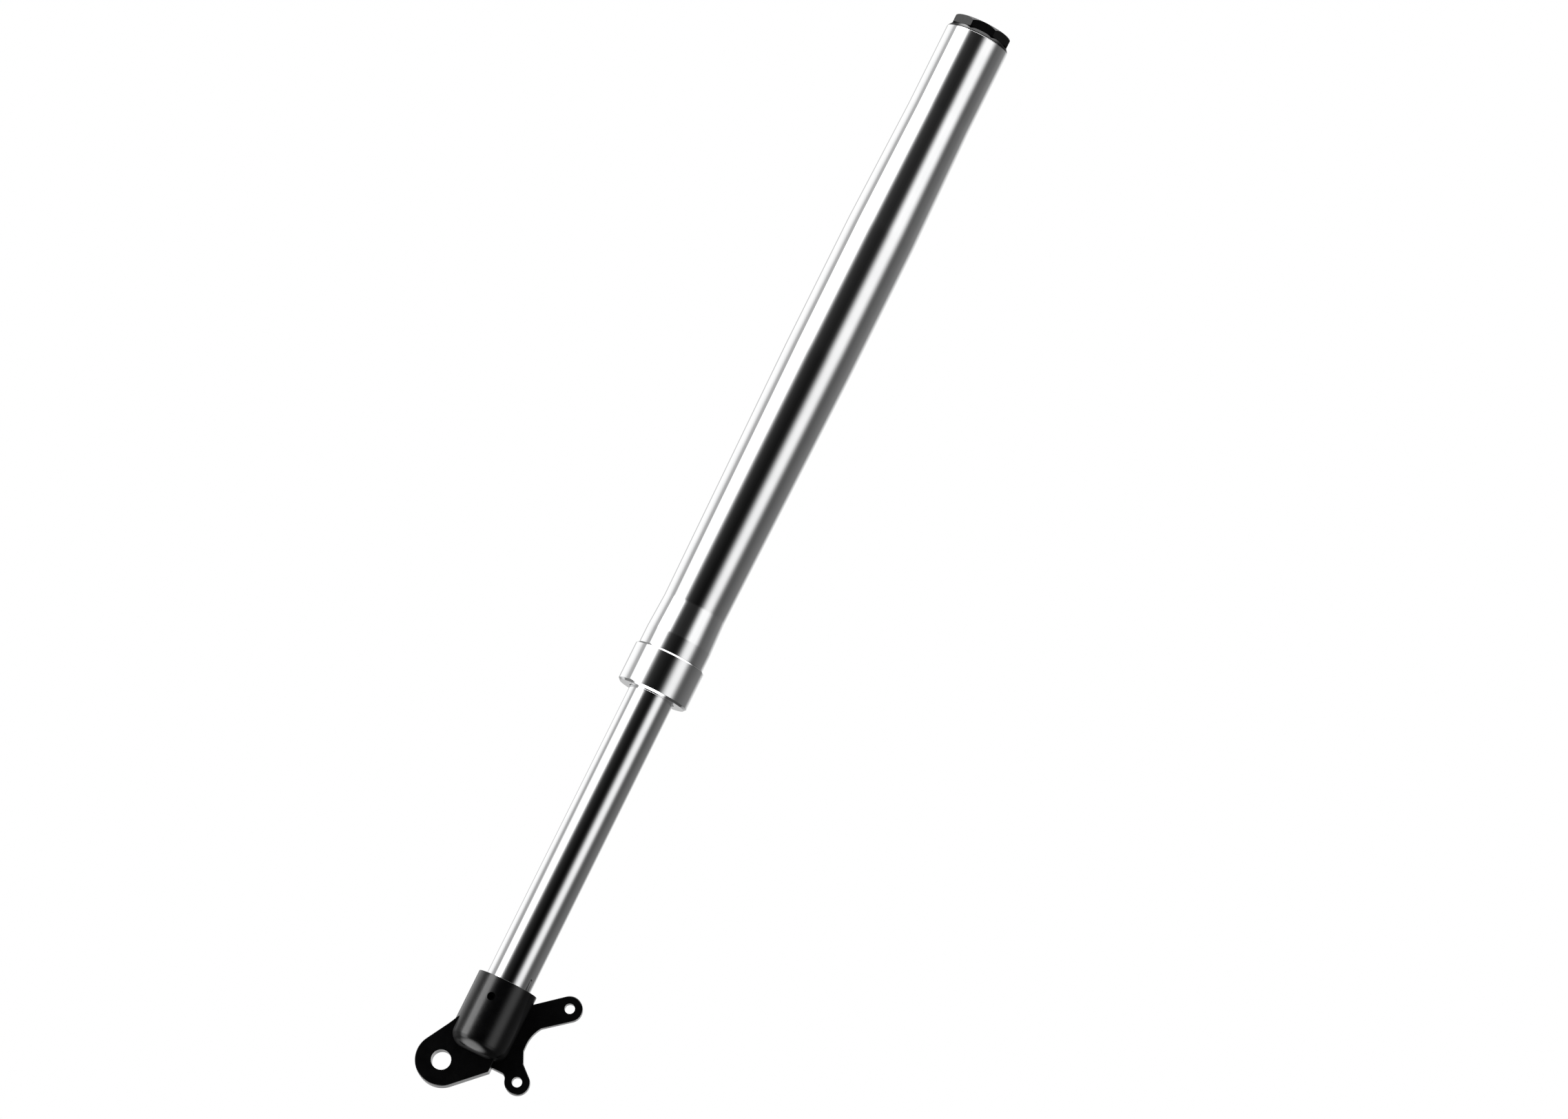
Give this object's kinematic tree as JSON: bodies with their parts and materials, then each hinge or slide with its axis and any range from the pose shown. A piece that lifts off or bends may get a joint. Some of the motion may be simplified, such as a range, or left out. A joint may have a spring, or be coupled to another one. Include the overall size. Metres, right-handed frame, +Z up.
{
  "type": "telescopic fork leg",
  "caption": "Upside-down telescopic hydraulic fork leg: tapered chrome outer tube, sliding inner tube, black axle cup with offset axle lug and brake calliper bracket.",
  "frame": {"origin": "centre of the wheel axle bore in the axle plate", "axes": "+Z up the leg towards the cap, +Y along the axle bore, away from the front face; the axle plate is on -X and the calliper bracket on +X of the tubes"},
  "size_m": [0.0898, 0.0522, 0.8358],
  "materials": {
    "chrome_tube": "bright mirror chrome",
    "black_paint": "satin black paint",
    "black_anodised": "satin black anodised",
    "rubber_black": "matt rubber",
    "steel": "machined steel",
    "black_oxide": "dull black oxide",
    "rod_chrome": "ground hard chrome",
    "spring_steel": "oiled blue-black spring steel",
    "aluminium": "machined aluminium",
    "bush_ptfe": "bronze-backed PTFE",
    "plastic_white": "natural acetal",
    "needle_brass": "turned brass"
  },
  "bodies": {
    "outer": {"outer_tube": "chrome_tube", "seal_collar": "chrome_tube", "dust_wiper": "rubber_black", "seal_circlip": "steel", "oil_seal": "rubber_black", "seal_washer": "steel", "guide_bush": "bush_ptfe", "top_cap": "black_anodised", "cap_o_ring": "rubber_black", "bleed_screw": "steel", "bleed_o_ring": "rubber_black", "damper_rod": "rod_chrome", "rod_lock_nut": "steel", "preload_tube": "aluminium", "upper_spring_seat": "aluminium", "spring_guide": "plastic_white", "bump_stop": "rubber_black", "main_spring": "spring_steel", "damper_piston": "aluminium", "piston_ring": "plastic_white", "rebound_shims": "steel", "piston_nut": "steel", "top_out_spring": "spring_steel"},
    "adjuster": {"rebound_adjuster": "black_anodised", "adjuster_o_ring": "rubber_black"},
    "push_rod": {"rebound_push_rod": "aluminium", "rebound_needle": "needle_brass"},
    "slider": {"slide_bush": "bush_ptfe"},
    "leg": {"inner_tube": "chrome_tube", "bush_circlips": "steel", "axle_cup": "black_paint", "axle_plate": "black_paint", "caliper_bracket": "black_paint", "cup_o_ring": "rubber_black", "cup_set_screw": "black_oxide", "cartridge_tube": "aluminium", "cartridge_foot": "aluminium", "cartridge_head": "aluminium", "rod_guide_bush": "bush_ptfe", "rod_seal": "rubber_black", "head_circlip": "steel", "lower_spring_seat": "plastic_white", "base_valve": "aluminium", "base_shims": "steel", "base_valve_bolt": "steel"}
  },
  "joints": [
    {"name": "fork_travel", "type": "slide", "parent": "outer", "child": "slider", "axis": [0, 0, 1], "range_m": [0, 0.2], "stiffness_N_per_m": 3500, "springref_m": -0.03, "deforming": ["main_spring"]},
    {"name": "leg_swivel", "type": "hinge", "parent": "slider", "child": "leg", "pos_m": [0.0172, 0, 0], "axis": [0, 0, 1], "continuous": true},
    {"name": "rebound_turn", "type": "hinge", "parent": "outer", "child": "adjuster", "pos_m": [0.0172, 0, 0.8], "axis": [0, 0, 1], "range_deg": [0, 720]},
    {"name": "needle_feed", "type": "slide", "parent": "outer", "child": "push_rod", "axis": [0, 0, 1], "range_m": [-0.002, 0]}
  ],
  "couplings": [
    {"joint": "rebound_turn", "follows": "needle_feed", "rad_per_m": -6283.2}
  ]
}
